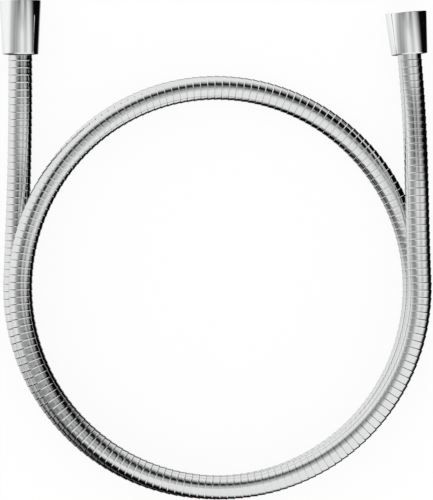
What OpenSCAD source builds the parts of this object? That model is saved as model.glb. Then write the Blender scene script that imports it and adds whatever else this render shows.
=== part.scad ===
// Metal shower hose: a strip-wound hose with a rubber water tube inside and a conical G1/2 union nut
// at each end, lying on a table in a loop of one and a half turns. Millimetres, Z up. The table is
// the plane Z = 0, and the origin is under the middle of the plan.
//
// The hose starts in the long nut, runs down into the lower turn, climbs over the top of the loop and
// comes round again on top of itself, up to the short nut. The long nut's end has a swivel, so that
// the hose doesn't twist. Inside each nut, sizes along its axis are counted from the mouth.

/* [Metal hose] */
// Outside diameter of the metal hose
hose_d = 14; // [12:0.5:14.5]
// Height of the folded strip, from the bore to the outside
hose_wall = 1.5; // [1.2:0.1:1.8]
// Depth of the groove between one turn of the strip and the next
groove_depth = 0.45; // [0.2:0.05:0.6]
// Number of ribs along the hose
rib_count = 200; // [80:4:200]

/* [Water tube] */
// Thickness of the braid round the water tube
braid_t = 0.35; // [0.2:0.05:0.4]
// Wall of the water tube
tube_wall = 1.2; // [0.8:0.1:1.4]

/* [Loop] */
// Diameter of the lower turn, along the middle of the hose
loop_d = 236; // [200:2:300]
// How much smaller the radius of the upper turn is
upper_inset = 0.5; // [0:0.5:4]
// How far the upper turn lies towards the short nut
upper_shift = 3; // [0:0.5:6]
// Free height between the two layers of hose
layer_gap = 0.5; // [0.5:0.1:3]
// From the middle of the lower turn up to the tails of the nuts
leg_len = 137.5; // [120:0.5:200]
// Distance between the axes of the two nuts at their tails
nut_spacing = 229.5; // [200:0.5:260]
// Lean of the short nut towards the long one, in degrees
wall_nut_lean = 4.7; // [0:0.1:10]

/* [Union nuts] */
// Outside diameter of the G1/2 thread that screws into a nut
thread_d = 20.955; // [20.6:0.005:21.4]
// Depth of that thread, from crest to root
thread_depth = 1.162; // [1:0.002:1.2]
// Length of the threaded part, from the mouth
thread_len = 8; // [6:0.5:9]
// Wall of a nut round its thread, at the mouth
nut_wall = 1.72; // [1.5:0.02:3]
// Wall of a nut round the lip of its guide bush, at the tail
tail_wall = 1.45; // [1.2:0.05:3]
// Length of the nut for the hand shower
long_nut_len = 32; // [31:0.5:40]
// Length of the nut for the wall outlet
short_nut_len = 25; // [24:0.5:34]
// Bevel round the mouth of a nut
mouth_bevel = 0.6; // [0.2:0.1:0.8]
// Bevel round the tail of a nut
tail_bevel = 0.7; // [0.2:0.1:1]
// How far a nut slides back along the straight part of the hose
nut_travel = 12; // [4:1:20]

/* [Guide bushes] */
// Length of the bush in the tail of a nut
bush_len = 3.9; // [3:0.1:4.5]
// Thickness of its lip
lip_t = 0.8; // [0.5:0.1:1.2]
// How far its lip stands out past its body
lip_w = 0.6; // [0.4:0.1:0.8]

/* [Seals] */
// Thickness of the flat washers
washer_t = 2; // [1.5:0.1:2.5]
// Diameter of the hole in a flat washer
washer_hole_d = 10.6; // [9:0.2:12]
// Thickness of an O-ring's section
o_ring_t = 1; // [0.8:0.1:1.2]
// Distance between the two O-rings
o_ring_pitch = 2.2; // [2:0.1:2.4]

/* [Nipples and swivel] */
// Thickness of the flange that presses on a washer
flange_t = 2.2; // [1.8:0.1:2.6]
// Thickness of the slip ring behind the flange
slip_t = 0.8; // [0.6:0.1:1]
// Diameter of the swivel's spigot bore
spigot_bore_d = 12; // [11.4:0.1:12.4]
// Depth of the spigot bore
spigot_bore_len = 5.8; // [5.4:0.1:6.4]
// Wall in front of the spigot bore
hub_front_t = 1.6; // [1.2:0.1:2]
// Thickness of the thrust ring
thrust_t = 0.8; // [0.6:0.1:1]
// Thickness of the spigot's shoulder
shoulder_t = 1.5; // [1.2:0.1:1.8]
// Thickness of the retaining clip
clip_t = 0.8; // [0.6:0.1:1]
// Diameter of the neck that passes through a collar
neck_d = 10.4; // [9.6:0.1:11]
// Wall of a nipple's tail between its bore and its barbs
tail_tube_wall = 0.9; // [0.7:0.1:1.1]
// Depth of a barb
barb_depth = 0.45; // [0.2:0.05:0.6]
// Distance from one barb to the next
barb_pitch = 2.6; // [2:0.1:3]
// Number of barbs
barb_count = 4; // [2:1:5]

/* [Collars] */
// Wall of the cup that is pressed over the end of the hose
collar_wall = 0.55; // [0.4:0.05:0.6]
// Thickness of its end wall
collar_end_t = 1; // [0.8:0.1:1.4]

/* [Hidden] */
$fn = 96;

// Clearances
fit_gap = 0.05;     // between turning pieces
seat_gap = 0.1;     // between pieces that are pressed together
loose_gap = 0.3;    // round what slides
pass_gap = 0.4;     // between a nut's bore and what it passes over

// Radii, from the water outwards. A hose section is an octagon with a flat underneath, and its
// radius is the distance from its middle to a flat.
SIDES = 8;
corner = 1 / cos(180 / SIDES);
hose_r = hose_d / 2;
groove_r = hose_r - groove_depth;
hose_bore_r = hose_r - hose_wall;
braid_r = hose_bore_r - seat_gap;
tube_r = braid_r - braid_t - seat_gap;
tube_bore_r = tube_r - tube_wall;
barb_r = tube_bore_r - fit_gap;
water_r = barb_r - tail_tube_wall;
neck_r = neck_d / 2;
collar_in_r = hose_r * corner + fit_gap;
collar_r = collar_in_r + collar_wall;
bush_in_r = hose_r * corner + loose_gap;
pass_r = collar_r + pass_gap;
bush_r = pass_r - fit_gap;
lip_r = pass_r + lip_w;
nut_tail_r = lip_r + fit_gap + tail_wall;
thread_r = thread_d / 2;
drill_r = thread_r - thread_depth + 0.15;
flange_r = drill_r - loose_gap;
nut_mouth_r = thread_r + nut_wall;
hub_r = pass_r - pass_gap;
spigot_bore_r = spigot_bore_d / 2;
counterbore_r = hub_r - 0.95;
clip_groove_r = counterbore_r + 0.45;
clip_in_r = neck_r + 0.7;
wall_body_r = neck_r + 1.8;
spigot_r = spigot_bore_r - fit_gap;
o_ring_r = spigot_bore_r - fit_gap - o_ring_t / 2;
o_groove_r = o_ring_r - o_ring_t / 2 - fit_gap;

// Places along a nut's axis, from its mouth
washer_s = thread_len;
flange_s = washer_s + washer_t;
slip_s = flange_s + flange_t;
nut_shoulder_s = slip_s + slip_t + loose_gap;
spigot_bore_s = flange_s + hub_front_t;
counterbore_s = spigot_bore_s + spigot_bore_len;
thrust_s = counterbore_s + fit_gap;
shoulder_s = thrust_s + thrust_t + fit_gap;
clip_groove_s = shoulder_s + shoulder_t + seat_gap;
clip_s = clip_groove_s + fit_gap;
hub_end_s = clip_s + clip_t + fit_gap + 0.8;
shower_collar_s = hub_end_s + pass_gap;
shower_hose_s = shower_collar_s + collar_end_t + seat_gap;
wall_collar_s = nut_shoulder_s + 0.8;
wall_hose_s = wall_collar_s + collar_end_t + seat_gap;
tail_tube_len = barb_pitch * barb_count + 0.6;
o_groove_w = o_ring_t + 0.4;
o_front_s = spigot_bore_s + (spigot_bore_len - o_ring_pitch) / 2;
o_rear_s = o_front_s + o_ring_pitch;

// Route of the hose, seen from above, with the middle of the lower turn at 0, 0
loop_r = loop_d / 2;
low_z = hose_r;
high_z = low_z + hose_d + layer_gap;
nut_z = nut_mouth_r;
leave_long = 177.6; // angle round the loop at which the leg from the long nut joins it
leave_short = 722.6; // angle, one and a half turns on, at which the leg to the short nut leaves it
climb_from = 420; // angle at which the hose starts to climb to the upper layer
climb_to = 520; // angle at which it is up
straight_len = nut_travel + 2; // straight hose behind a nut's tail
sink_end = 0.5; // share of the long nut's leg in which the hose comes down to the table
drop_start = 0.42; // share of the short nut's leg at which the hose starts to come down

// The plan is centred on the origin: these are its middle and its outer edges
plan_left = min(-nut_spacing / 2 - nut_mouth_r, -loop_r - hose_r);
plan_right = upper_shift + loop_r - upper_inset + hose_r;
plan_low = -loop_r - hose_r;
plan_high = leg_len + long_nut_len;
plan_x = -(plan_left + plan_right) / 2;
plan_y = -(plan_low + plan_high) / 2;

long_dir = [0, -1, 0]; // from the long nut's mouth into the hose
short_dir = [sin(wall_nut_lean), -cos(wall_nut_lean), 0];
long_mouth = [plan_x - nut_spacing / 2, plan_y + leg_len + long_nut_len, nut_z];
short_mouth = [plan_x + nut_spacing / 2, plan_y + leg_len, nut_z] - short_nut_len * short_dir;

function clamp(t) = max(0, min(1, t));
function smooth(t) = let (c = clamp(t)) c * c * (3 - 2 * c);
function mix(a, b, t) = a + (b - a) * t;
function unit(v) = v / norm(v);
function plan(p) = [p[0], p[1]];
function hermite(p0, d0, p1, d1, t) =
    let (reach = norm(p1 - p0))
    (2 * t ^ 3 - 3 * t ^ 2 + 1) * p0 + (t ^ 3 - 2 * t ^ 2 + t) * reach * d0
    + (3 * t ^ 2 - 2 * t ^ 3) * p1 + (t ^ 3 - t ^ 2) * reach * d1;

// A point of the loop. The angle runs anticlockwise from +X, and the turn it is in sets the layer.
function loop_point(angle) =
    let (up = smooth((angle - climb_from) / (climb_to - climb_from)))
    let (r = loop_r - up * upper_inset)
    [
        plan_x + up * upper_shift + r * cos(angle),
        plan_y + r * sin(angle),
        mix(low_z, high_z, up)
    ];
function loop_dir(angle) = [-sin(angle), cos(angle)];

long_start = long_mouth + shower_hose_s * long_dir;
long_bend = long_mouth + (long_nut_len + straight_len) * long_dir;
short_start = short_mouth + wall_hose_s * short_dir;
short_bend = short_mouth + (short_nut_len + straight_len) * short_dir;

function long_leg(t) =
    let (p = hermite(plan(long_bend), plan(long_dir),
                     plan(loop_point(leave_long)), loop_dir(leave_long), t))
    [p[0], p[1], mix(nut_z, low_z, smooth(t / sink_end))];
function short_leg(t) =
    let (p = hermite(plan(loop_point(leave_short)), loop_dir(leave_short),
                     plan(short_bend), -plan(short_dir), t))
    [p[0], p[1], mix(high_z, nut_z, smooth((t - drop_start) / (1 - drop_start)))];

// The whole route: 0 to 1 is straight, 1 to 2 the long nut's leg, 2 to 3 the loop, 3 to 4 the short
// nut's leg and 4 to 5 straight again.
function route(u) =
    u < 1 ? mix(long_start, long_bend, u)
    : u < 2 ? long_leg(u - 1)
    : u < 3 ? loop_point(mix(leave_long, leave_short, u - 2))
    : u < 4 ? short_leg(u - 3)
    : mix(short_bend, short_start, u - 4);

ROUTE_STEPS = [10, 40, 360, 40, 10]; // steps in each of the five pieces
route_u = concat([for (piece = [0:4]) for (i = [0:ROUTE_STEPS[piece] - 1])
                  piece + i / ROUTE_STEPS[piece]], [5]);
route_p = [for (u = route_u) route(u)];
// Pairs of length so far and place on the route
route_table = [for (i = 0, len = 0; i < len(route_u);
                    len = i + 1 < len(route_u) ? len + norm(route_p[i + 1] - route_p[i]) : len,
                    i = i + 1) [len, route_u[i]]];
hose_len = route_table[len(route_table) - 1][0];
function hose_point(s) = route(lookup(clamp(s / hose_len) * hose_len, route_table));
function hose_dir(s) = unit(hose_point(s + 0.5) - hose_point(s - 0.5));

// A ring of a hose section: r is the distance to its flats, and one flat faces down
function ring(s, r) =
    let (middle = hose_point(s), ahead = hose_dir(s))
    let (side = unit(cross(ahead, [0, 0, 1])))
    let (up = cross(side, ahead))
    [for (k = [0:SIDES - 1]) let (a = 360 * (k + 0.5) / SIDES)
     middle + r * corner * (cos(a) * side + sin(a) * up)];

// Triangles between the rings from first to last, looking outwards or, for a bore, inwards
function skin(first, last, inwards) = [
    for (i = [first:last - 1]) for (k = [0:SIDES - 1])
        let (a = i * SIDES + k, b = i * SIDES + (k + 1) % SIDES)
        let (c = b + SIDES, d = a + SIDES)
        each inwards ? [[a, c, b], [a, d, c]] : [[a, b, c], [a, c, d]]
];
// Triangles of the flat end between an outer ring and a bore's ring
function end_face(outer, inner, at_start) = [
    for (k = [0:SIDES - 1])
        let (a = outer * SIDES + k, b = outer * SIDES + (k + 1) % SIDES)
        let (c = inner * SIDES + (k + 1) % SIDES, d = inner * SIDES + k)
        each at_start ? [[a, d, c], [a, c, b]] : [[a, c, d], [a, b, c]]
];

// A tube along the route, from its outer rings and its bore's rings
module tube(outer, bore) {
    n = len(outer);
    m = len(bore);
    polyhedron(
        points = [for (r = concat(outer, bore)) each r],
        faces = concat(
            skin(0, n - 1, false), skin(n, n + m - 1, true),
            end_face(0, n, true), end_face(n - 1, n + m - 1, false)
        )
    );
}

CORE_RINGS = 80; // rings of each smooth tube surface
function smooth_rings(r) = [for (i = [0:CORE_RINGS - 1]) ring(i * hose_len / (CORE_RINGS - 1), r)];

// Each rib rises gently to the lip of its turn of the strip and drops steeply into the next groove
crest_at = 0.7; // share of a rib's length at which it is highest
function ribbed_rings() =
    let (pitch = hose_len / rib_count)
    concat(
        [for (i = [0:rib_count - 1]) for (top = [0, 1])
         ring((i + top * crest_at) * pitch, top == 1 ? hose_r : groove_r)],
        [ring(hose_len, groove_r)]
    );

// Least gap between two strands of the hose, across the flats of their sections, measured on points
// half a hose diameter apart. Points that are less than a loop's diameter along the hose from each
// other belong to one strand.
gap_points = [for (s = [0:hose_r:hose_len]) hose_point(s)];
own_strand = floor(loop_d / hose_r);
function across(v) =
    let (level = norm(plan(v)), high = abs(v[2]))
    max(level, high, (level + high) * sqrt(0.5));
least_gap = min([
    for (i = [0:len(gap_points) - 1 - own_strand]) for (j = [i + own_strand:len(gap_points) - 1])
        across(gap_points[j] - gap_points[i])
]) - hose_d;

CHROME = [0.80, 0.81, 0.83];
BRASS = [0.80, 0.66, 0.36];
STEEL = [0.62, 0.63, 0.65];
RUBBER = [0.10, 0.10, 0.11];
DARK_PLASTIC = [0.16, 0.16, 0.17];
WHITE_PLASTIC = [0.90, 0.90, 0.87];
YARN = [0.85, 0.85, 0.80];

// Turns a piece that is drawn along +Z from its nut's mouth into its place
module at_long_nut() {
    translate(long_mouth) rotate([90, 0, 0]) children();
}
module at_short_nut() {
    translate(short_mouth) rotate([90, 0, wall_nut_lean]) children();
}

// A plain ring about the Z axis, with its edges bevelled
module washer_ring(s, t, in_r, out_r, bevel = 0) {
    rotate_extrude()
        polygon([
            [in_r, s], [out_r - bevel, s], [out_r, s + bevel],
            [out_r, s + t - bevel], [out_r - bevel, s + t], [in_r, s + t]
        ]);
}

// Conical nut. From its mouth: bevel, thread, tapping bore for the washer and the flange, the
// shoulder that pulls the flange up, the bore over the collar, and the seat of the bush's lip.
module union_nut(length) {
    rotate_extrude()
        polygon([
            [thread_r + mouth_bevel, 0], [nut_mouth_r - mouth_bevel / 2, 0],
            [nut_mouth_r, mouth_bevel / 2], [nut_tail_r, length - tail_bevel],
            [nut_tail_r - tail_bevel, length], [lip_r + fit_gap, length],
            [lip_r + fit_gap, length - lip_t - fit_gap], [pass_r, length - lip_t - fit_gap],
            [pass_r, nut_shoulder_s], [drill_r, nut_shoulder_s], [drill_r, thread_len],
            [thread_r, thread_len], [thread_r, mouth_bevel]
        ]);
}

// Bush in the tail of a nut: it slides on the hose, and the nut turns on it
module guide_bush(length) {
    rotate_extrude()
        polygon([
            [bush_in_r, length - bush_len], [bush_r, length - bush_len],
            [bush_r, length - lip_t], [lip_r, length - lip_t], [lip_r, length],
            [bush_in_r + 0.3, length], [bush_in_r, length - 0.3]
        ]);
}

// Cup pressed over the end of the metal hose: start is its end wall, and it ends short of the bush
module collar(start, length) {
    open_end = length - bush_len - pass_gap;
    rotate_extrude()
        polygon([
            [neck_r + fit_gap, start], [collar_r - 0.4, start], [collar_r, start + 0.4],
            [collar_r, open_end], [collar_in_r, open_end], [collar_in_r, start + collar_end_t],
            [neck_r + fit_gap, start + collar_end_t]
        ]);
}

// Outline of a barbed tail, going away from the collar, from its first barb to its tip
function tail_outline(start) = concat(
    [for (i = [0:barb_count - 1]) let (s = start + 0.6 + i * barb_pitch)
     each [[barb_r - barb_depth, s], [barb_r, s + 0.2], [barb_r - barb_depth, s + barb_pitch - 0.2]]],
    [[water_r, start + tail_tube_len]]
);

module outer_hose() {
    echo(str("Hose length ", hose_len, " mm, least gap between strands ", least_gap, " mm"));
    color(CHROME) tube(ribbed_rings(), smooth_rings(hose_bore_r));
}

module braid_sleeve() {
    color(YARN) tube(smooth_rings(braid_r), smooth_rings(braid_r - braid_t));
}

module inner_tube() {
    color(RUBBER) tube(smooth_rings(tube_r), smooth_rings(tube_bore_r));
}

module shower_nut() {
    color(CHROME) at_long_nut() union_nut(long_nut_len);
}

module shower_guide_bush() {
    color(DARK_PLASTIC) at_long_nut() guide_bush(long_nut_len);
}

module shower_washer() {
    color(RUBBER) at_long_nut()
        washer_ring(washer_s, washer_t, washer_hole_d / 2, flange_r - seat_gap, 0.2);
}

module shower_slip_ring() {
    color(WHITE_PLASTIC) at_long_nut()
        washer_ring(slip_s, slip_t, hub_r + seat_gap, flange_r - seat_gap);
}

// Flanged socket of the swivel: the spigot turns in its bore, behind a thrust ring and the clip
module swivel_hub() {
    color(BRASS) at_long_nut() rotate_extrude()
        polygon([
            [water_r + 0.6, flange_s], [flange_r - 0.2, flange_s], [flange_r, flange_s + 0.2],
            [flange_r, slip_s], [hub_r, slip_s], [hub_r, hub_end_s], [counterbore_r, hub_end_s],
            [counterbore_r, clip_s + clip_t + fit_gap], [clip_groove_r, clip_s + clip_t + fit_gap],
            [clip_groove_r, clip_groove_s], [counterbore_r, clip_groove_s],
            [counterbore_r, counterbore_s], [spigot_bore_r, counterbore_s],
            [spigot_bore_r, spigot_bore_s], [water_r + 0.6, spigot_bore_s]
        ]);
}

// The O-rings lie in grooves round the spigot, a fit gap clear of the bore and of the groove's floor
module o_ring(s) {
    translate([0, 0, s]) rotate_extrude() translate([o_ring_r, 0]) circle(d = o_ring_t, $fn = 32);
}

module swivel_o_ring_front() {
    color(RUBBER) at_long_nut() o_ring(o_front_s);
}

module swivel_o_ring_rear() {
    color(RUBBER) at_long_nut() o_ring(o_rear_s);
}

module thrust_ring() {
    color(WHITE_PLASTIC) at_long_nut()
        washer_ring(thrust_s, thrust_t, spigot_bore_r + fit_gap, counterbore_r - seat_gap);
}

// Open ring sprung into the hub's groove
module retaining_clip() {
    clip_mouth = 3;
    color(STEEL) at_long_nut()
        difference() {
            washer_ring(clip_s, clip_t, clip_in_r, clip_groove_r - fit_gap);
            translate([0, -clip_mouth / 2, clip_s - 1]) cube([hub_r, clip_mouth, clip_t + 2]);
        }
}

// Spigot with two O-ring grooves, a shoulder, the neck through the collar and the barbed tail
module shower_nipple() {
    spigot_s = spigot_bore_s + 0.2;
    shoulder_r = counterbore_r - 0.15;
    function o_groove(s) = [
        [spigot_r, s - o_groove_w / 2], [o_groove_r, s - o_groove_w / 2],
        [o_groove_r, s + o_groove_w / 2], [spigot_r, s + o_groove_w / 2]
    ];
    color(BRASS) at_long_nut() rotate_extrude()
        polygon(concat(
            [[water_r, spigot_s], [spigot_r - 0.3, spigot_s], [spigot_r, spigot_s + 0.3]],
            o_groove(o_front_s), o_groove(o_rear_s),
            [
                [spigot_r, shoulder_s], [shoulder_r, shoulder_s],
                [shoulder_r, shoulder_s + shoulder_t], [neck_r, shoulder_s + shoulder_t],
                [neck_r, shower_hose_s - seat_gap], [barb_r - barb_depth, shower_hose_s - seat_gap]
            ],
            tail_outline(shower_hose_s)
        ));
}

module shower_collar() {
    color(BRASS) at_long_nut() collar(shower_collar_s, long_nut_len);
}

module wall_nut() {
    color(CHROME) at_short_nut() union_nut(short_nut_len);
}

module wall_guide_bush() {
    color(DARK_PLASTIC) at_short_nut() guide_bush(short_nut_len);
}

module wall_washer() {
    color(RUBBER) at_short_nut()
        washer_ring(washer_s, washer_t, washer_hole_d / 2, flange_r - seat_gap, 0.2);
}

module wall_slip_ring() {
    color(WHITE_PLASTIC) at_short_nut()
        washer_ring(slip_s, slip_t, wall_body_r + seat_gap, flange_r - seat_gap);
}

// Flanged nipple whose tail holds the water tube
module wall_nipple() {
    color(BRASS) at_short_nut() rotate_extrude()
        polygon(concat(
            [
                [water_r, flange_s], [flange_r - 0.2, flange_s], [flange_r, flange_s + 0.2],
                [flange_r, slip_s], [wall_body_r, slip_s], [wall_body_r, wall_collar_s],
                [neck_r, wall_collar_s], [neck_r, wall_hose_s - seat_gap],
                [barb_r - barb_depth, wall_hose_s - seat_gap]
            ],
            tail_outline(wall_hose_s)
        ));
}

module wall_collar() {
    color(BRASS) at_short_nut() collar(wall_collar_s, short_nut_len);
}

outer_hose();
braid_sleeve();
inner_tube();
shower_nut();
shower_guide_bush();
shower_washer();
shower_slip_ring();
swivel_hub();
swivel_o_ring_front();
swivel_o_ring_rear();
thrust_ring();
retaining_clip();
shower_nipple();
shower_collar();
wall_nut();
wall_guide_bush();
wall_washer();
wall_slip_ring();
wall_nipple();
wall_collar();
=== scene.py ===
"""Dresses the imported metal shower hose: its strip-wound skin, its nuts and their inner pieces.

Metres, Z up, in the frame of the CAD model. The hose starts in the long nut, runs down into the
lower turn of the loop, climbs over the top and comes round again on top of itself, up to the
short nut.
"""

from __future__ import annotations

import logging
import math
from dataclasses import dataclass, field

import bmesh
import bpy
import numpy as np
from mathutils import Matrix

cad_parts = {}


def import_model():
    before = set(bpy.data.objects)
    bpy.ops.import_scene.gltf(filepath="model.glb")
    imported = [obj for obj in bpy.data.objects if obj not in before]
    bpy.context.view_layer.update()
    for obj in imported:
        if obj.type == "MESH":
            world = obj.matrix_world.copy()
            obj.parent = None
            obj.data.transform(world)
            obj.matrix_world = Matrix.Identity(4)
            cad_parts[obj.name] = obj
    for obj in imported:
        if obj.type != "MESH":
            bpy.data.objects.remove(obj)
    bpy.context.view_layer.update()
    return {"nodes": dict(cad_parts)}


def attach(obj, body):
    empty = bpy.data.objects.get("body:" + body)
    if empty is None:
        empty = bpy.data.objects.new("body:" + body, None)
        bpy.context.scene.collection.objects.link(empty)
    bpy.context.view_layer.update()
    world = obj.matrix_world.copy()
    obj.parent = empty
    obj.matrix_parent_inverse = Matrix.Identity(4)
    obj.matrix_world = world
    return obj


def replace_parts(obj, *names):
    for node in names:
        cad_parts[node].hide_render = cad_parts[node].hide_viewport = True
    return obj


LOG = logging.getLogger("shower_hose")
MM = 0.001
UP = (0.0, 0.0, 1.0)

Colour = tuple[float, float, float]
Vector = tuple[float, float, float]


# ------------------------------------------------------------------------------- shader maths


class Signal:
    """The output of a node. Some of Python's operators on it add Math nodes."""

    def __init__(self, net: Net, socket: bpy.types.NodeSocket) -> None:
        """Wraps a socket of a node tree.

        Args:
            net: The node tree that the socket is in.
            socket: The output.
        """
        self.net = net
        self.socket = socket

    def _with(self, operation: str, first: Value, second: Value | None = None) -> Signal:
        """Adds one Math node.

        Args:
            operation: The node's operation.
            first: Its first value.
            second: Its second value, if it has one.

        Returns:
            The node's result.
        """
        sockets = {0: first} if second is None else {0: first, 1: second}
        return self.net.out("ShaderNodeMath", {"operation": operation}, sockets)

    def __add__(self, other: Value) -> Signal:
        """The sum."""
        return self._with("ADD", self, other)

    def __rsub__(self, other: Value) -> Signal:
        """The difference, from the other value."""
        return self._with("SUBTRACT", other, self)

    def __mul__(self, other: Value) -> Signal:
        """The product."""
        return self._with("MULTIPLY", self, other)

    def wave(self) -> Signal:
        """The sine of an angle in radians, brought to 0 to 1."""
        return self._with("SINE", self) * 0.5 + 0.5

    def most(self, other: Value) -> Signal:
        """The larger of two values."""
        return self._with("MAXIMUM", self, other)

    def eased(self, low: float, high: float, to_high: float = 1.0) -> Signal:
        """Goes smoothly from 0 to another value.

        Args:
            low: Where it starts.
            high: Where it ends. It is the larger number.
            to_high: The result at and above high.

        Returns:
            The eased value.
        """
        settings = {"interpolation_type": "SMOOTHSTEP"}
        sockets = {
            "Value": self, "From Min": low, "From Max": high, "To Min": 0.0, "To Max": to_high,
        }
        return self.net.out("ShaderNodeMapRange", settings, sockets)


Value = Signal | float | tuple[float, ...]
Sockets = dict[str | int, Value]


class Net:
    """A node tree that nodes are added to."""

    def __init__(self, tree: bpy.types.NodeTree) -> None:
        """Empties a node tree.

        Args:
            tree: The tree of a material or of the world.
        """
        self.tree = tree
        tree.nodes.clear()

    def add(self, kind: str, settings: dict[str, str], sockets: Sockets) -> bpy.types.Node:
        """Adds any node: its settings first, then the values and links of its sockets.

        Args:
            kind: The node's type.
            settings: Its properties.
            sockets: A value or a link for each input, by its name or number.

        Returns:
            The node.
        """
        node = self.tree.nodes.new(kind)
        for name, value in settings.items():
            setattr(node, name, value)
        for name, value in sockets.items():
            if isinstance(value, Signal):
                self.tree.links.new(value.socket, node.inputs[name])
            else:
                node.inputs[name].default_value = value
        return node

    def out(
        self, kind: str, settings: dict[str, str], sockets: Sockets, output: str | int = 0
    ) -> Signal:
        """Adds a node and gives one of its outputs.

        Args:
            kind: The node's type.
            settings: Its properties.
            sockets: The values and links of its inputs.
            output: The output's name or number.

        Returns:
            The output.
        """
        return Signal(self, self.add(kind, settings, sockets).outputs[output])

    def place(self) -> Signal:
        """The place on the piece, in metres from the frame's origin."""
        return self.out("ShaderNodeTexCoord", {}, {}, "Object")

    def mapped(self, name: str) -> Signal:
        """The place on a surface map of the piece, by the map's name."""
        return self.out("ShaderNodeUVMap", {"uv_map": name}, {}, "UV")

    def mixed(self, low: Colour, high: Colour, share: Value) -> Signal:
        """Mixes two colours.

        Args:
            low: The colour where the share is 0.
            high: The colour where it is 1.
            share: The share.

        Returns:
            The colour.
        """
        sockets = {0: share, 6: (*low, 1.0), 7: (*high, 1.0)}
        return self.out("ShaderNodeMix", {"data_type": "RGBA"}, sockets, 2)

    def scaled(self, place: Signal, by: Vector) -> Signal:
        """A place, with each of its numbers multiplied."""
        return self.out("ShaderNodeVectorMath", {"operation": "MULTIPLY"}, {0: place, 1: by})

    def along(self, place: Signal, direction: Vector) -> Signal:
        """How far a place or direction goes along a direction."""
        sockets = {0: place, 1: direction}
        return self.out("ShaderNodeVectorMath", {"operation": "DOT_PRODUCT"}, sockets, "Value")

    def noise(
        self, place: Signal, scale: float = 1.0, detail: float = 2.0, roughness: float = 0.5
    ) -> Signal:
        """Cloudy noise from 0 to 1.

        Args:
            place: Where it is read.
            scale: Clouds per metre of that place.
            detail: Octaves of finer noise.
            roughness: Weight of the finer noise.

        Returns:
            The noise.
        """
        sockets = {"Vector": place, "Scale": scale, "Detail": detail, "Roughness": roughness}
        return self.out("ShaderNodeTexNoise", {}, sockets)

    def bump(self, height: Signal, depth: float) -> Signal:
        """The normal of a surface with a small relief.

        Args:
            height: Its height, from 0 to 1.
            depth: Metres of height from 0 to 1.

        Returns:
            The normal.
        """
        sockets = {"Height": height, "Distance": depth, "Strength": 1.0}
        return self.out("ShaderNodeBump", {}, sockets, "Normal")

    def surface(self, sockets: Sockets) -> None:
        """Ends the tree of a material with a Principled shader.

        Args:
            sockets: The values and links of the shader's inputs.
        """
        shader = self.out("ShaderNodeBsdfPrincipled", {}, sockets)
        self.add("ShaderNodeOutputMaterial", {}, {"Surface": shader})


def grey(level: float) -> tuple[float, float, float, float]:
    """A grey, as a colour of four numbers."""
    return (level, level, level, 1.0)


# ------------------------------------------------------------------------------- finishes


@dataclass(frozen=True)
class Finish:
    """A finish of the hose's pieces: a material made once, and a slot name that is kept but not
    used.
    """

    name: str
    slot: str

    def material(self) -> bpy.types.Material:
        """The finish's material, made the first time it is asked for."""
        found = bpy.data.materials.get(self.name)
        if found is None:
            found = bpy.data.materials.new(self.name)
            found.use_nodes = True
            self.paint(Net(found.node_tree))
        return found

    def paint(self, net: Net) -> None:
        """Fills the material's node tree.

        Args:
            net: The empty tree.
        """
        raise NotImplementedError

    def dress(self, node: bpy.types.Object) -> None:
        """Gives the finish to a CAD node or a piece."""
        if not node.material_slots:
            node.data.materials.append(self.material())
        for place in node.material_slots:
            place.material = self.material()


@dataclass(frozen=True)
class StripChrome(Finish):
    """Polished steel strip: rolled lines along the strip, smudges and fine specks.

    The scales are clouds per unit of the surface map for the lines, and per metre for the rest.
    """

    uv_map: str = "strip"
    colour: Colour = (0.740, 0.745, 0.750)
    smudged: Colour = (0.770, 0.775, 0.780)
    line_scale: Vector = (0.35, 9.0, 1.0)
    smudge_scale: float = 90.0
    speck_scale: float = 900.0
    smudge_range: tuple[float, float] = (0.42, 0.72)
    smudge_share: float = 0.7
    speck_share: float = 0.3
    roughness: float = 0.045
    rougher_lines: float = 0.05
    rougher_smudges: float = 0.04
    relief: float = 0.000004

    def paint(self, net: Net) -> None:
        """Fills the material's node tree.

        Args:
            net: The empty tree.
        """
        strip, place = net.mapped(self.uv_map), net.place()
        lines = net.noise(net.scaled(strip, self.line_scale), detail=3.0, roughness=0.6)
        smudges = net.noise(place, self.smudge_scale)
        specks = net.noise(place, self.speck_scale, detail=1.0)
        worn = smudges.eased(*self.smudge_range)
        duller = lines * self.rougher_lines + worn * self.rougher_smudges
        height = lines * (1 - self.speck_share) + specks * self.speck_share
        net.surface(
            {
                "Base Color": net.mixed(self.colour, self.smudged, worn * self.smudge_share),
                "Metallic": 1.0,
                "Roughness": duller + self.roughness,
                "Normal": net.bump(height, self.relief),
            }
        )


@dataclass(frozen=True)
class NutChrome(Finish):
    """Chrome plate on a turned nut: faint polishing lines round its axis and a few smudges."""

    axis: Vector = (0.0, 1.0, 0.0)
    colour: Colour = (0.90, 0.905, 0.91)
    smudged: Colour = (0.87, 0.875, 0.88)
    polish_scale: float = 4200.0
    smudge_scale: float = 120.0
    smudge_range: tuple[float, float] = (0.45, 0.75)
    smudge_share: float = 0.6
    roughness: float = 0.02
    rougher_lines: float = 0.03
    rougher_smudges: float = 0.04
    relief: float = 0.0000012

    def paint(self, net: Net) -> None:
        """Fills the material's node tree.

        Args:
            net: The empty tree.
        """
        place = net.place()
        down = net.out("ShaderNodeCombineXYZ", {}, {"X": net.along(place, self.axis)})
        polish = net.noise(down, self.polish_scale, detail=3.0, roughness=0.7)
        worn = net.noise(place, self.smudge_scale, detail=3.0).eased(*self.smudge_range)
        duller = polish * self.rougher_lines + worn * self.rougher_smudges
        net.surface(
            {
                "Base Color": net.mixed(self.colour, self.smudged, worn * self.smudge_share),
                "Metallic": 1.0,
                "Roughness": duller + self.roughness,
                "Normal": net.bump(polish, self.relief),
            }
        )


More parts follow.
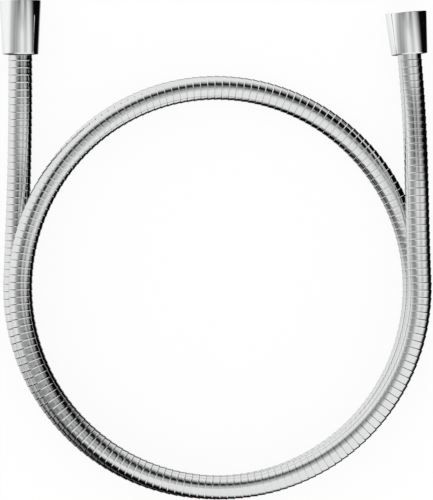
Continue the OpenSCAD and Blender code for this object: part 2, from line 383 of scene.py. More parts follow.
@dataclass(frozen=True)
class TurnedMetal(Finish):
    """Turned brass or drawn steel: tool marks round the axis, with duller patches."""

    axis: Vector = (0.0, 1.0, 0.0)
    bright: Colour = (0.83, 0.66, 0.36)
    dull: Colour = (0.60, 0.44, 0.22)
    roughness: float = 0.22
    mark_pitch: float = 0.00018
    patch_scale: float = 260.0
    patch_range: tuple[float, float] = (0.4, 0.72)
    patch_share: float = 0.4
    dull_share: float = 0.8
    rougher_marks: float = 0.05
    rougher_patches: float = 0.16
    relief: float = 0.000006

    def paint(self, net: Net) -> None:
        """Fills the material's node tree.

        Args:
            net: The empty tree.
        """
        place = net.place()
        down = net.along(place, self.axis)
        marks = (down * (2 * math.pi / self.mark_pitch)).wave()
        patches = net.noise(place, self.patch_scale, detail=4.0, roughness=0.6)
        aged = patches.eased(*self.patch_range)
        duller = aged * self.rougher_patches + marks * self.rougher_marks
        height = marks * (1 - self.patch_share) + patches * self.patch_share
        net.surface(
            {
                "Base Color": net.mixed(self.bright, self.dull, aged * self.dull_share),
                "Metallic": 1.0,
                "Roughness": duller + self.roughness,
                "Normal": net.bump(height, self.relief),
            }
        )


@dataclass(frozen=True)
class Moulded(Finish):
    """Moulded rubber or plastic: a fine grain, faint flow patches and a dusting of wear."""

    colour: Colour
    rubbed: Colour
    roughness: float
    grain_scale: float = 5200.0
    flow_scale: float = 210.0
    rubbed_range: tuple[float, float] = (0.42, 0.74)
    rubbed_share: float = 0.7
    grain_share: float = 0.2
    rougher_grain: float = 0.14
    rougher_rubbed: float = 0.08
    relief: float = 0.00002
    specular: float = 0.4

    def paint(self, net: Net) -> None:
        """Fills the material's node tree.

        Args:
            net: The empty tree.
        """
        place = net.place()
        grain = net.noise(place, self.grain_scale, detail=3.0, roughness=0.6)
        rubbed = net.noise(place, self.flow_scale, detail=3.0).eased(*self.rubbed_range)
        duller = grain * self.rougher_grain + rubbed * self.rougher_rubbed
        faded = rubbed * self.rubbed_share + grain * self.grain_share
        net.surface(
            {
                "Base Color": net.mixed(self.colour, self.rubbed, faded),
                "Roughness": duller + self.roughness,
                "Specular IOR Level": self.specular,
                "Normal": net.bump(grain, self.relief),
            }
        )


@dataclass(frozen=True)
class BraidedYarn(Finish):
    """Braided polyester yarn: two families of strands that cross over and under each other, with
    painted shade in the hollows between them.
    """

    uv_map: str = "braid"
    strands: float = 12.0
    lay: float = 0.022
    fibre_scale: Vector = (9000.0, 900.0, 1.0)
    fibre_share: float = 0.2
    colour: Colour = (0.80, 0.79, 0.74)
    # painted shade: the darker colour of the braid's hollows, where the strands dip under each
    # other
    hollow_shade: Colour = (0.50, 0.49, 0.45)
    roughness: float = 0.7
    rougher_fibres: float = 0.15
    relief: float = 0.00012
    specular: float = 0.25

    def paint(self, net: Net) -> None:
        """Fills the material's node tree.

        Args:
            net: The empty tree.
        """
        braid = net.mapped(self.uv_map)
        turn = 2 * math.pi * self.strands
        right, left = (
            net.along(braid, (way * turn / self.lay, turn, 0.0)).wave() for way in (1, -1)
        )
        fibres = net.noise(net.scaled(braid, self.fibre_scale))
        height = right.most(left) * (1 - self.fibre_share) + fibres * self.fibre_share
        net.surface(
            # The colour falls to the painted shade where the strands sit low, in the hollows
            # between them.
            {
                "Base Color": net.mixed(self.hollow_shade, self.colour, height),
                "Roughness": fibres * self.rougher_fibres + self.roughness,
                "Specular IOR Level": self.specular,
                "Normal": net.bump(height, self.relief),
            }
        )


# ------------------------------------------------------------------------------- mesh making


@dataclass
class Shell:
    """Points and faces of a piece that is being made."""

    points: list[Vector] = field(default_factory=list)
    faces: list[tuple[int, ...]] = field(default_factory=list)

    def add(self, points: np.ndarray, faces: list[tuple[int, ...]] | np.ndarray) -> None:
        """Adds a closed part.

        Args:
            points: Its points, one row each.
            faces: Its faces, as numbers of those points.
        """
        start = len(self.points)
        self.points.extend(map(tuple, points))
        self.faces.extend(tuple(int(i) + start for i in face) for face in faces)

    def piece(self, name: str, finish: Finish, crease: float = 32.0) -> bpy.types.Object:
        """Makes the piece, smooth except at its creases.

        Args:
            name: The piece's name.
            finish: Its finish.
            crease: The angle in degrees at and above which an edge is sharp.

        Returns:
            The object.
        """
        mesh = bpy.data.meshes.new(name)
        mesh.from_pydata(self.points, [], self.faces)
        mesh.validate()
        return finished(mesh, finish, crease)


def linked(mesh: bpy.types.Mesh) -> bpy.types.Object:
    """Makes an object of a mesh, with the mesh's name, and puts it into the scene."""
    made = bpy.data.objects.new(mesh.name, mesh)
    bpy.context.scene.collection.objects.link(made)
    return made


def finished(mesh: bpy.types.Mesh, finish: Finish, crease: float | None) -> bpy.types.Object:
    """Turns a mesh into an object with smooth shading and a finish.

    Args:
        mesh: The mesh, named as the piece.
        finish: Its finish.
        crease: The angle in degrees at and above which an edge is sharp, or None for a piece
            without sharp edges.

    Returns:
        The object.
    """
    mesh.shade_smooth()
    if crease is not None:
        mesh.set_sharp_from_angle(angle=math.radians(crease))
    piece = linked(mesh)
    finish.dress(piece)
    return piece


def ring_faces(rings: int, around: int) -> np.ndarray:
    """Joins rings of points into a closed ring of bands, the last ring to the first.

    Args:
        rings: How many rings there are.
        around: Points in each ring.

    Returns:
        The faces, four point numbers in a row.
    """
    here = np.arange(rings)[:, None] * around + np.arange(around)[None, :]
    right, ahead = np.roll(here, -1, axis=1), np.roll(here, -1, axis=0)
    return np.stack([here, ahead, np.roll(right, -1, axis=0), right], axis=-1).reshape(-1, 4)


def ring_angles(rings: int, around: int) -> np.ndarray:
    """The angle in radians of each point, for rings of evenly spaced points."""
    return np.broadcast_to(2 * math.pi * np.arange(around) / around, (rings, around))


def map_surface(mesh: bpy.types.Mesh, name: str, corners: list[np.ndarray]) -> None:
    """Gives a mesh of four-cornered faces a surface map.

    Args:
        mesh: The mesh.
        name: The map's name.
        corners: The first and second number of each corner in turn, for all faces.
    """
    flat = np.stack(corners, axis=-1).astype(np.float32).ravel()
    mesh.uv_layers.new(name=name).uv.foreach_set("vector", flat)


@dataclass(frozen=True)
class Seat:
    """Where a nut sits: the middle of its mouth and the way from its mouth into the hose."""

    mouth: Vector
    inward: Vector

    def on_axis(self, down: float) -> np.ndarray:
        """The place on the nut's axis that is so far from its mouth."""
        return np.array(self.mouth) + down * np.array(self.inward)

    def place(self, across: np.ndarray, up: np.ndarray, down: np.ndarray) -> np.ndarray:
        """Puts points that are given about the nut's axis into the frame.

        Args:
            across: Their places across the axis, level.
            up: Their heights above the axis.
            down: How far each is from the mouth.

        Returns:
            The points, one row each.
        """
        inward = np.array(self.inward)
        side = np.cross(inward, UP)
        return (
            np.array(self.mouth) + np.outer(down, inward) + np.outer(across, side)
            + np.outer(up, UP)
        )

    def turned(
        self, outline: list[tuple[float, float]], around: int
    ) -> tuple[np.ndarray, np.ndarray]:
        """Turns a closed outline about the nut's axis.

        Args:
            outline: Radius and distance from the mouth of each corner, in metres.
            around: Points in each circle.

        Returns:
            The points and the faces.
        """
        angle = np.linspace(0, 2 * math.pi, around, endpoint=False)
        radius, down = np.array(outline).T
        across, up = np.outer(radius, np.cos(angle)), np.outer(radius, np.sin(angle))
        points = self.place(across.ravel(), up.ravel(), np.repeat(down, around))
        return points, ring_faces(len(outline), around)


def rounded(corners: list[Vector], steps: int = 5) -> list[tuple[float, float]]:
    """Rounds the corners of a closed outline.

    Args:
        corners: Radius, distance from the mouth and rounding of each corner, in millimetres.
        steps: Points in the rounding of one corner.

    Returns:
        The outline, in metres.
    """
    made: list[tuple[float, float]] = []
    count = len(corners)
    for i, (x, y, size) in enumerate(corners):
        here = np.array((x, y))
        if not size:
            made.append((x * MM, y * MM))
            continue
        before = np.array(corners[i - 1][:2]) - here
        after = np.array(corners[(i + 1) % count][:2]) - here
        first = here + before / np.linalg.norm(before) * size
        last = here + after / np.linalg.norm(after) * size
        for t in np.linspace(0, 1, steps):
            point = (1 - t) ** 2 * first + 2 * t * (1 - t) * here + t**2 * last
            made.append((point[0] * MM, point[1] * MM))
    return made


# ------------------------------------------------------------------------------- the hose's route


def eased(t: np.ndarray | float) -> np.ndarray | float:
    """Goes smoothly from 0 to 1 as t does."""
    t = np.clip(t, 0, 1)
    return t * t * (3 - 2 * t)


@dataclass
class HoseRoute:
    """The line along the middle of the hose, from its end in the long nut to the short one's.

    The loop's upper turn lies on the lower one, a little smaller and shifted. Angles of the loop
    are degrees anticlockwise from +X. The legs sink to the table and drop from the upper turn
    over shares of their length.
    """

    middle: tuple[float, float] = (-0.00027625, -0.02225)
    loop_radius: float = 0.118
    upper_inset: float = 0.0005
    upper_shift: float = 0.003
    low: float = 0.007
    high: float = 0.0215
    leave_long: float = 177.6
    leave_short: float = 722.6
    climb_from: float = 420.0
    climb_to: float = 520.0
    long_seat: Seat = Seat((-0.11502625, 0.14725, 0.0121975), (0.0, -1.0, 0.0))
    short_seat: Seat = Seat(
        (0.11242529, 0.14016593, 0.0121975),
        (math.sin(math.radians(4.7)), -math.cos(math.radians(4.7)), 0.0),
    )
    long_start: float = 0.0231
    long_bend: float = 0.046
    short_start: float = 0.0152
    short_bend: float = 0.039
    sink_end: float = 0.5
    drop_start: float = 0.42
    steps: tuple[int, ...] = (60, 240, 2200, 240, 60)
    even_steps: int = 5600
    turn_window: int = 61

    def __post_init__(self) -> None:
        """Lays the line out and measures it."""
        pieces = [
            self._straight_out, self._long_leg, self._loop, self._short_leg, self._straight_in,
        ]
        laid = [make(np.arange(n) / n) for make, n in zip(pieces, self.steps)]
        laid.append(self._straight_in(np.array([1.0])))
        line = np.concatenate(laid)
        steps = np.linalg.norm(np.diff(line, axis=0), axis=1)
        lengths = np.concatenate([[0], np.cumsum(steps)])
        self.length = float(lengths[-1])
        self._at = np.linspace(0, self.length, self.even_steps)
        self._line = np.stack(
            [np.interp(self._at, lengths, line[:, i]) for i in range(3)], axis=1
        )
        ahead = np.gradient(self._line, self._at, axis=0)
        self._ahead = ahead / np.linalg.norm(ahead, axis=1)[:, None]
        turn = np.gradient(self._ahead, self._at, axis=0)
        window = np.hanning(self.turn_window)
        kernel = window / window.sum()
        self._turn = np.stack([np.convolve(turn[:, i], kernel, "same") for i in range(3)], axis=1)

    def _loop_points(self, angle: np.ndarray) -> np.ndarray:
        """Points of the loop.

        Args:
            angle: The angle of each. The turn it is in sets the layer.

        Returns:
            The points, one row each.
        """
        up = eased((angle - self.climb_from) / (self.climb_to - self.climb_from))
        radius = self.loop_radius - up * self.upper_inset
        return np.stack(
            [
                self.middle[0] + up * self.upper_shift + radius * np.cos(np.radians(angle)),
                self.middle[1] + radius * np.sin(np.radians(angle)),
                self.low + (self.high - self.low) * up,
            ],
            axis=1,
        )

    def _leg(
        self, start: tuple[np.ndarray, ...], end: tuple[np.ndarray, ...], t: np.ndarray
    ) -> np.ndarray:
        """A leg, seen from above: the smooth curve between two places with set directions.

        Args:
            start: Place and direction of its start.
            end: Place and direction of its end.
            t: Shares of the way.

        Returns:
            The places, one row each.
        """
        reach = np.linalg.norm(end[0] - start[0])
        weights = (
            2 * t**3 - 3 * t**2 + 1, t**3 - 2 * t**2 + t, 3 * t**2 - 2 * t**3, t**3 - t**2,
        )
        sides = (start[0], reach * start[1], end[0], reach * end[1])
        return sum(np.outer(w, s) for w, s in zip(weights, sides))

    def _joins_loop(self, angle: float) -> tuple[np.ndarray, np.ndarray]:
        """Place and direction, seen from above, where a leg meets the loop."""
        turn = math.radians(angle)
        way = np.array((-math.sin(turn), math.cos(turn)))
        return self._loop_points(np.array([angle]))[0, :2], way

    def _straight(self, seat: Seat, begin: float, end: float, t: np.ndarray) -> np.ndarray:
        """Straight hose behind a nut.

        Args:
            seat: Where the nut sits.
            begin: How far from the nut's mouth it begins.
            end: How far from the nut's mouth it ends.
            t: Shares of it.

        Returns:
            The points, one row each.
        """
        first, last = seat.on_axis(begin), seat.on_axis(end)
        return first + np.outer(t, last - first)

    def _straight_out(self, t: np.ndarray) -> np.ndarray:
        """The straight hose behind the long nut, at shares t of it."""
        return self._straight(self.long_seat, self.long_start, self.long_bend, t)

    def _long_leg(self, t: np.ndarray) -> np.ndarray:
        """The long nut's leg, at shares t of it."""
        bend = self.long_seat.on_axis(self.long_bend)
        inward = np.array(self.long_seat.inward)
        plan = self._leg((bend[:2], inward[:2]), self._joins_loop(self.leave_long), t)
        height = bend[2] + (self.low - bend[2]) * eased(t / self.sink_end)
        return np.column_stack([plan, height])

    def _loop(self, t: np.ndarray) -> np.ndarray:
        """The loop of one and a half turns, at shares t of it."""
        return self._loop_points(self.leave_long + (self.leave_short - self.leave_long) * t)

    def _short_leg(self, t: np.ndarray) -> np.ndarray:
        """The short nut's leg, at shares t of it."""
        bend = self.short_seat.on_axis(self.short_bend)
        inward = np.array(self.short_seat.inward)
        plan = self._leg(self._joins_loop(self.leave_short), (bend[:2], -inward[:2]), t)
        drop = eased((t - self.drop_start) / (1 - self.drop_start))
        return np.column_stack([plan, self.high + (bend[2] - self.high) * drop])

    def _straight_in(self, t: np.ndarray) -> np.ndarray:
        """The straight hose behind the short nut, at shares t of it."""
        return self._straight(self.short_seat, self.short_bend, self.short_start, t)

    def _read(self, table: np.ndarray, at: np.ndarray) -> np.ndarray:
        """The rows of a table along the line, at lengths along it."""
        return np.stack([np.interp(at, self._at, table[:, i]) for i in range(3)], axis=-1)

    def points(self, at: np.ndarray) -> np.ndarray:
        """Points of the line, at lengths along it."""
        return self._read(self._line, at)

    def skin(self, at: np.ndarray, angle: np.ndarray, radius: np.ndarray) -> np.ndarray:
        """Points round the line.

        Args:
            at: Length along the line of each point.
            angle: Its angle about the line, in radians.
            radius: Its distance from the line.

        Returns:
            The points.
        """
        ahead = self._read(self._ahead, at)
        side = np.cross(ahead, UP)
        side /= np.linalg.norm(side, axis=-1)[..., None]
        up = np.cross(side, ahead)
        out = np.cos(angle)[..., None] * side + np.sin(angle)[..., None] * up
        return self.points(at) + radius[..., None] * out

    def stretch(self, at: np.ndarray, angle: np.ndarray, radius: float) -> np.ndarray:
        """How much longer the skin is than the line, as a share.

        It is above 0 outside a bend and below 0 inside it.

        Args:
            at: Length along the line of each point.
            angle: Its angle about the line, in radians.
            radius: Its distance from the line.

        Returns:
            The shares.
        """
        towards = self.skin(at, angle, np.ones_like(at)) - self.points(at)
        return -radius * np.sum(towards * self._read(self._turn, at), axis=-1)


# ------------------------------------------------------------------------------- the hose


@dataclass
class StripHose:
    """The metal skin of the hose, wound from folded steel strip."""

    route: HoseRoute
    radius: float = 0.007
    end_radius: float = 0.0067
    bore: float = 0.0055
    turns: int = 329
    around: int = 24
    bore_rings: int = 150
    # Share of a turn, from the bottom of one groove to the next, and depth in millimetres below
    # the radius. A depth below 0 stands proud of it.
    fold: tuple[tuple[float, float], ...] = (
        (0.0, 0.308),
        (0.03, 0.137),
        (0.065, 0.141),
        (0.11, 0.129),
        (0.2, 0.090),
        (0.35, 0.031),
        (0.52, -0.014),
        (0.68, -0.076),
        (0.8, -0.135),
        (0.87, -0.204),
        (0.92, -0.197),
        (0.965, -0.146),
    )
    leaves_nut: float = 0.032
    path_points: int = 420
    finish: StripChrome = StripChrome("polished_strip", "chrome_hose")

    def build(self) -> bpy.types.Object:
        """Makes the metal hose: a band for each turn of the strip, the flat ends and the bore.

        Returns:
            The hose, in place of its CAD node.
        """
        at, radius, turn, share = self._rows()
        points = self.route.skin(at, ring_angles(*at.shape), radius).reshape(-1, 3)
        mesh = bpy.data.meshes.new("strip_hose")
        mesh.from_pydata(points, [], ring_faces(*at.shape).tolist())
        self._map_strip(mesh, turn, share)
        hose = finished(mesh, self.finish, None)
        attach(hose, "hose")
        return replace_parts(hose, "outer_hose")

    def _map_strip(self, mesh: bpy.types.Mesh, turn: np.ndarray, share: np.ndarray) -> None:
        """Maps the surface along the strip: turns one way, and shares of a turn across it.

        Args:
            mesh: The hose's mesh.
            turn: The turn of each row of points.
            share: Each row's share of its turn.
        """
        step = 1 / self.around
        left = turn[:, None] + np.arange(self.around)[None, :] / self.around
        low = np.broadcast_to(share[:, None], left.shape)
        high = np.broadcast_to(np.append(share[1:], 0.5)[:, None], left.shape)
        high = np.where(high < low, 1.0, high)
        right = left + step
        map_surface(mesh, self.finish.uv_map, [left, low, left, high, right, high, right, low])

    def _rows(self) -> tuple[np.ndarray, np.ndarray, np.ndarray, np.ndarray]:
        """Lays the rows of points out, along the outside and back through the bore.

        Returns:
            For each point its length along the line and its radius; for each row its turn and
            its share of it.
        """
        length, around = self.route.length, self.around
        share, depth = np.array(self.fold).T
        turn = np.repeat(np.arange(self.turns), len(share))
        share, depth = np.tile(share, self.turns), np.tile(depth, self.turns)
        pitch = length / self.turns
        angle = ring_angles(len(turn), around)
        middle = np.broadcast_to((turn[:, None] + 0.5) * pitch, angle.shape)
        loose = 1 + self.route.stretch(middle, angle, self.radius)
        from_middle = np.where(share[:, None] == 0, -0.5, (share[:, None] - 0.5) / loose)
        at = middle + from_middle * pitch
        radius = np.broadcast_to((self.radius - depth * MM)[:, None], at.shape)

        inner = np.linspace(length, 0, self.bore_rings)[:, None] + np.zeros(around)
        end = np.full((1, around), length)
        at = np.vstack([at, end, inner])
        rims = [np.full_like(end, self.end_radius), np.full_like(inner, self.bore)]
        radius = np.vstack([radius, *rims])
        turn = np.append(turn, np.full(1 + self.bore_rings, self.turns))
        share = np.append(share, np.full(1 + self.bore_rings, 0.5))
        return at, radius, turn, share

    def declare(self) -> None:
        """Works out where the hose leaves the long nut and points along the hose's line, and keeps
        neither.
        """
        route = self.route
        tuple(route.long_seat.on_axis(self.leaves_nut))
        route.points(np.linspace(0, route.length, self.path_points))


@dataclass
class Core:
    """What carries the water inside the metal hose: a rubber tube in a braided sleeve.

    The radii of each are its outer and its inner one.
    """

    route: HoseRoute
    tube: tuple[float, float] = (0.00495, 0.00375)
    sleeve: tuple[float, float] = (0.0054, 0.00505)
    around: int = 24
    rings: int = 190
    crease: float = 40.0
    rubber: Moulded = Moulded(
        "tube_rubber", "rubber", colour=(0.022, 0.022, 0.024), rubbed=(0.05, 0.05, 0.052),
        roughness=0.55,
    )
    yarn: BraidedYarn = BraidedYarn("braided_yarn", "yarn")

    def build(self) -> list[bpy.types.Object]:
        """Makes the tube and its sleeve.

        Returns:
            The two pieces.
        """
        tube = self._pipe("water_tube", self.tube, self.rubber)
        sleeve = self._pipe("braided_sleeve", self.sleeve, self.yarn)
        return [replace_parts(tube, "inner_tube"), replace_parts(sleeve, "braid_sleeve")]

    def _pipe(self, name: str, radii: tuple[float, float], finish: Finish) -> bpy.types.Object:
        """Makes a pipe along the hose.

        Args:
            name: Its name.
            radii: Its outer and inner radius.
            finish: Its finish.

        Returns:
            The pipe.
        """
        around = self.around
        out = np.linspace(0, self.route.length, self.rings)
        at = np.concatenate([out, out[::-1]])[:, None] + np.zeros(around)
        size = np.repeat(radii, self.rings)[:, None] + np.zeros(around)
        points = self.route.skin(at, ring_angles(*at.shape), size).reshape(-1, 3)
        mesh = bpy.data.meshes.new(name)
        mesh.from_pydata(points, [], ring_faces(*at.shape).tolist())

        share = np.arange(around)[None, :] / around + np.zeros((len(at), 1))
        ahead, step = np.roll(at, -1, axis=0), share + 1 / around
        map_surface(mesh, self.yarn.uv_map, [at, share, ahead, share, ahead, step, at, step])
        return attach(finished(mesh, finish, self.crease), "hose")


# ------------------------------------------------------------------------------- the nuts


@dataclass
class PipeThread:
    """The thread in a nut: a ridge that winds into the bore, fading in and out at its ends.

    It has the sizes of G1/2, in millimetres, but winds left-handed, where a real one winds
    right-handed. Each pair is a share of the full size: what the ridge has at its very ends, and
    what it gains where it is full.
    """

    seat: Seat
    major: float = 10.4775
    minor: float = 9.3155
    pitch: float = 1.814
    start: float = 1.25
    turns: float = 3.35
    steps_in_turn: int = 72
    crest: float = 0.22
    sunk: float = 0.05
    fade_turns: float = 0.4
    full_height: float = 0.98
    base_share: tuple[float, float] = (0.12, 0.86)
    crest_share: tuple[float, float] = (0.3, 0.7)

    def add_to(self, shell: Shell) -> None:
        """Adds the ridge to the nut that is being made.

        Args:
            shell: The nut.
        """
        count = round(self.turns * self.steps_in_turn) + 1
        wound = np.arange(count) / self.steps_in_turn
        angle = 2 * math.pi * wound
        middle = self.start + wound * self.pitch
        left = self.turns - wound
        fade = np.minimum(eased(wound / self.fade_turns), eased(left / self.fade_turns))
        top = self.major - fade * (self.major - self.minor) * self.full_height
        base = np.full(count, self.major + self.sunk)
        half = self.pitch / 2 * (self.base_share[0] + self.base_share[1] * fade)
        crest = self.crest / 2 * (self.crest_share[0] + self.crest_share[1] * fade)
        outline = [(base, -half), (top, -crest), (top, crest), (base, half)]
        across, up = np.cos(angle), np.sin(angle)
        rings = [
            self.seat.place(radius * across * MM, radius * up * MM, (middle + shift) * MM)
            for radius, shift in outline
        ]
        points = np.stack(rings, axis=1).reshape(-1, 3)
        last = 4 * (count - 1)
        faces: list[tuple[int, ...]] = [(0, 1, 2, 3), tuple(last + k for k in (3, 2, 1, 0))]
        faces += [
            (4 * i + k, 4 * i + 4 + k, 4 * i + 4 + (k + 1) % 4, 4 * i + (k + 1) % 4)
            for i in range(count - 1)
            for k in range(4)
        ]
        shell.add(points, faces)


@dataclass
class UnionNut:
    """Conical union nut with its thread, turned and chrome plated. Sizes are in millimetres."""

    name: str
    node: str
    body: str
    seat: Seat
    length: float
    finish: NutChrome
    mouth_radius: float = 12.1975
    tail_radius: float = 10.6767
    tail_inset: float = 0.02
    thread_radius: float = 10.4775
    thread_length: float = 8.0
    countersink: float = 0.55
    drilled: float = 9.4655
    shoulder: float = 13.3
    through: float = 8.57675
    lip_radius: float = 9.22675
    lip_depth: float = 0.85
    inner_round: float = 0.12
    mouth_round: float = 0.38
    tail_round: float = 0.85
    around: int = 160

    def build(self) -> bpy.types.Object:
        """Makes the nut.

        Returns:
            The nut, in place of its CAD node.
        """
        tail = self.length
        outline = rounded(
            [
                (self.thread_radius + self.countersink, 0.0, self.inner_round),
                (self.mouth_radius, 0.0, self.mouth_round),
                (self.tail_radius - self.tail_inset, tail, self.tail_round),
                (self.lip_radius, tail, self.inner_round),
                (self.lip_radius, tail - self.lip_depth, 0.0),
                (self.through, tail - self.lip_depth, 0.0),
                (self.through, self.shoulder, 0.0),
                (self.drilled, self.shoulder, 0.0),
                (self.drilled, self.thread_length, 0.0),
                (self.thread_radius, self.thread_length, 0.0),
                (self.thread_radius, self.countersink, 0.0),
            ]
        )
        shell = Shell()
        shell.add(*self.seat.turned(outline, self.around))
        PipeThread(self.seat).add_to(shell)
        nut = shell.piece(self.name, self.finish)
        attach(nut, self.body)
        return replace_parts(nut, self.node)


@dataclass
class InnerPieces:
    """The pieces inside the nuts and at the hose's ends. They keep their CAD shapes."""

    long_axis: Vector
    short_axis: Vector

    def dress(self, nodes: dict[str, bpy.types.Object]) -> list[str]:
        """Gives each piece its finish.

        Args:
            nodes: The CAD nodes by name.

        Returns:
            The names of the nodes that were dressed.
        """
        rubber = Moulded(
            "washer_rubber", "rubber", colour=(0.018, 0.018, 0.019),
            rubbed=(0.055, 0.055, 0.056), roughness=0.62,
        )
        bush = Moulded(
            "bush_plastic", "dark_plastic", colour=(0.025, 0.025, 0.027),
            rubbed=(0.07, 0.07, 0.072), roughness=0.38,
        )
        white = Moulded(
            "slip_ring_plastic", "white_plastic", colour=(0.76, 0.755, 0.73),
            rubbed=(0.66, 0.655, 0.62), roughness=0.36,
        )
        steel = TurnedMetal(
            "clip_steel", "spring_steel", self.long_axis, bright=(0.60, 0.61, 0.63),
            dull=(0.42, 0.42, 0.44), roughness=0.28,
        )
        long_brass = TurnedMetal("long_end_brass", "brass", self.long_axis)
        short_brass = TurnedMetal("short_end_brass", "brass", self.short_axis)
        finishes: dict[str, Finish] = {
            "shower_guide_bush": bush,
            "wall_guide_bush": bush,
            "shower_washer": rubber,
            "wall_washer": rubber,
            "swivel_o_ring_front": rubber,
            "swivel_o_ring_rear": rubber,
            "shower_slip_ring": white,
            "wall_slip_ring": white,
            "thrust_ring": white,
            "retaining_clip": steel,
            "swivel_hub": long_brass,
            "shower_nipple": long_brass,
            "shower_collar": long_brass,
            "wall_nipple": short_brass,
            "wall_collar": short_brass,
        }
        for name, finish in finishes.items():
            finish.dress(nodes[name])
        return sorted(finishes)


# ------------------------------------------------------------------------------- studio


@dataclass(frozen=True)
class Panel:
    """A light panel as the metal sees it: a soft round area, cut off along a soft edge.

    All but the level are degrees. The middle of the area is tilted from straight up and turned
    about it. The area is even out to the inner angle and fades over the width. The edge keeps
    the side that its direction points to.
    """

    tilt: float
    turn: float
    inner: float
    width: float
    level: float
    edge_turn: float = 0.0
    edge_rise: float = 90.0
    edge_soft: float = 0.0

    def _direction(self, tilt: float, turn: float) -> Vector:
        """The direction that is tilted from straight up and turned about it, in degrees."""
        tilt, turn = math.radians(tilt), math.radians(turn)
        return (
            math.sin(tilt) * math.cos(turn), math.sin(tilt) * math.sin(turn), math.cos(tilt),
        )

    def mask(self, net: Net, towards: Signal) -> Signal:
        """How bright the panel is, by direction.

        Args:
            net: The dome's tree.
            towards: The direction that is looked in.

        Returns:
            The brightness.
        """
        low = math.cos(math.radians(self.inner + self.width))
        high = math.cos(math.radians(self.inner))
        near = net.along(towards, self._direction(self.tilt, self.turn))
        lit = near.eased(low, high, self.level)
        if not self.edge_soft:
            return lit
        across = net.along(towards, self._direction(90.0 - self.edge_rise, self.edge_turn))
        soft = math.sin(math.radians(self.edge_soft))
        return lit * across.eased(-soft, soft)


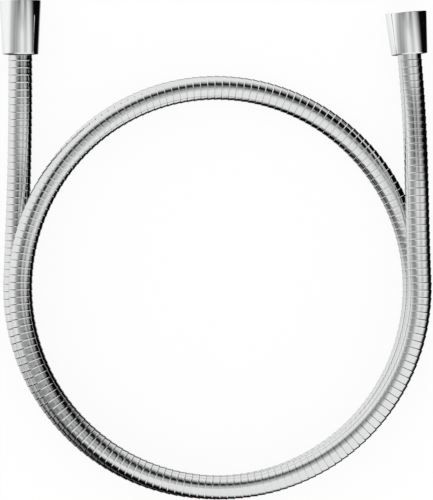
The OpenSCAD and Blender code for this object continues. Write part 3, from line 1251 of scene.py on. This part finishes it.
@dataclass
class Studio:
    """Plain pale floor, soft light from all round, and what the metal mirrors."""

    aim: Vector = (0.00067, -0.00004, 0.007)
    distance: float = 4.0
    seen_height: float = 0.29533
    sensor: float = 36.0
    clip: tuple[float, float] = (0.05, 20.0)
    floor_size: float = 3.0
    floor_height: float = -0.0003
    floor_glow: float = 0.9
    dome_radius: float = 1.458
    dome_height: float = 0.012
    dome_detail: int = 5
    dark: float = 0.0024
    panels: tuple[Panel, ...] = (
        Panel(72.5, -84.8, 52.2, 11.3, 0.990, -14.0, 46.0, 11.5),
        Panel(116.1, 130.1, 57.7, 35.5, 1.000, 120.8, 38.4, 11.5),
        Panel(35.8, -112.0, 47.9, 4.3, 0.280, 136.4, -19.0, 4.2),
        Panel(55.0, -83.9, 52.4, 22.1, 0.650, 25.4, 32.4, 30.7),
        Panel(47.7, -77.1, 52.0, 30.9, 0.860, 37.4, -33.0, 9.4),
        Panel(156.4, -128.6, 48.7, 5.1, 0.890, 119.1, -1.7, 23.1),
        Panel(13.6, -53.6, 9.0, 7.0, 0.600),
        Panel(17.3, 57.0, 6.0, 8.0, 0.420),
    )

    def camera(self) -> None:
        """Makes the camera, which looks straight down."""
        lens = bpy.data.cameras.new("camera")
        lens.sensor_width = self.sensor
        lens.lens = self.sensor * self.distance / self.seen_height
        lens.clip_start, lens.clip_end = self.clip
        camera = bpy.data.objects.new("camera", lens)
        camera.location = (*self.aim[:2], self.distance + self.aim[2])
        bpy.context.scene.collection.objects.link(camera)
        bpy.context.scene.camera = camera

    def _coated(self, mesh: bpy.types.Mesh) -> Net:
        """Gives a mesh a material of its own, with the mesh's name.

        Args:
            mesh: The mesh.

        Returns:
            The material's empty tree.
        """
        material = bpy.data.materials.new(mesh.name)
        material.use_nodes = True
        mesh.materials.append(material)
        return Net(material.node_tree)

    def floor(self) -> None:
        """Makes the floor, white with a faint shadow under the hose. Mirrors don't see it."""
        mesh = bpy.data.meshes.new("floor")
        size = self.floor_size
        corners = [(-size, -size), (size, -size), (size, size), (-size, size)]
        mesh.from_pydata([(x, y, self.floor_height) for x, y in corners], [], [(0, 1, 2, 3)])
        floor = linked(mesh)
        net = self._coated(mesh)
        matt = net.out("ShaderNodeBsdfDiffuse", {}, {"Color": grey(1.0)})
        white = net.out("ShaderNodeEmission", {}, {"Color": grey(1.0), "Strength": 1.0})
        seen = net.out("ShaderNodeLightPath", {}, {}, "Is Camera Ray")
        sockets = {0: seen * self.floor_glow, 1: matt, 2: white}
        shown = net.out("ShaderNodeMixShader", {}, sockets)
        net.add("ShaderNodeOutputMaterial", {}, {"Surface": shown})
        floor.visible_glossy = False

    def dome(self) -> None:
        """Makes the dome that carries the light panels. Only mirror reflections see it."""
        mesh = bpy.data.meshes.new("dome")
        form = bmesh.new()
        bmesh.ops.create_icosphere(
            form, subdivisions=self.dome_detail, radius=self.dome_radius
        )
        form.to_mesh(mesh)
        form.free()
        dome = linked(mesh)
        dome.location = (0.0, 0.0, self.dome_height)
        net = self._coated(mesh)
        towards = net.out("ShaderNodeVectorMath", {"operation": "NORMALIZE"}, {0: net.place()})
        unlit: Value = 1.0 - self.dark
        for panel in self.panels:
            unlit = (1 - panel.mask(net, towards)) * unlit
        glow = net.out("ShaderNodeEmission", {}, {"Color": 1 - unlit, "Strength": 1.0})
        net.add("ShaderNodeOutputMaterial", {}, {"Surface": glow})
        mesh.materials[0].cycles.emission_sampling = "NONE"
        dome.visible_camera = dome.visible_diffuse = dome.visible_shadow = False
        dome.visible_transmission = dome.visible_volume_scatter = False

    def world(self) -> None:
        """Makes the surroundings: white to the camera and an even light on matt pieces."""
        world = bpy.data.worlds.new("studio")
        world.use_nodes = True
        bpy.context.scene.world = world
        net = Net(world.node_tree)
        light = net.out("ShaderNodeBackground", {}, {"Color": grey(1.0), "Strength": 1.0})
        net.add("ShaderNodeOutputWorld", {}, {"Surface": light})
        world.cycles.sampling_method = "NONE"


# ------------------------------------------------------------------------------- all together


def main() -> None:
    """Builds everything in order, and says what it built."""
    logging.basicConfig(level=logging.INFO, format="%(message)s")
    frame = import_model()
    nodes = frame["nodes"]
    bpy.context.scene.view_settings.view_transform = "Standard"

    studio = Studio()
    studio.camera()
    route = HoseRoute()
    strip = StripHose(route)
    hose = strip.build()
    LOG.info("strip hose: %d faces, %.4f m long", len(hose.data.polygons), route.length)
    long_seat, short_seat = route.long_seat, route.short_seat
    long_chrome = NutChrome("long_nut_chrome", "chrome_nut", long_seat.inward)
    short_chrome = NutChrome("short_nut_chrome", "chrome_nut", short_seat.inward)
    long_nut = UnionNut(
        "long_union_nut", node="shower_nut", body="long_nut", seat=long_seat, length=32.0,
        finish=long_chrome,
    )
    short_nut = UnionNut(
        "short_union_nut", node="wall_nut", body="short_nut", seat=short_seat, length=25.0,
        finish=short_chrome,
    )
    made = Core(route).build() + [long_nut.build(), short_nut.build()]
    for piece in made:
        LOG.info("%s: %d faces", piece.name, len(piece.data.polygons))
    dressed = InnerPieces(long_seat.inward, short_seat.inward).dress(nodes)
    LOG.info("dressed: %s", ", ".join(dressed))

    far_end = made[-1:] + [nodes[name] for name in dressed if name.startswith("wall_")]
    strip.declare()
    studio.floor()
    studio.dome()
    studio.world()


if __name__ == "__main__":
    main()
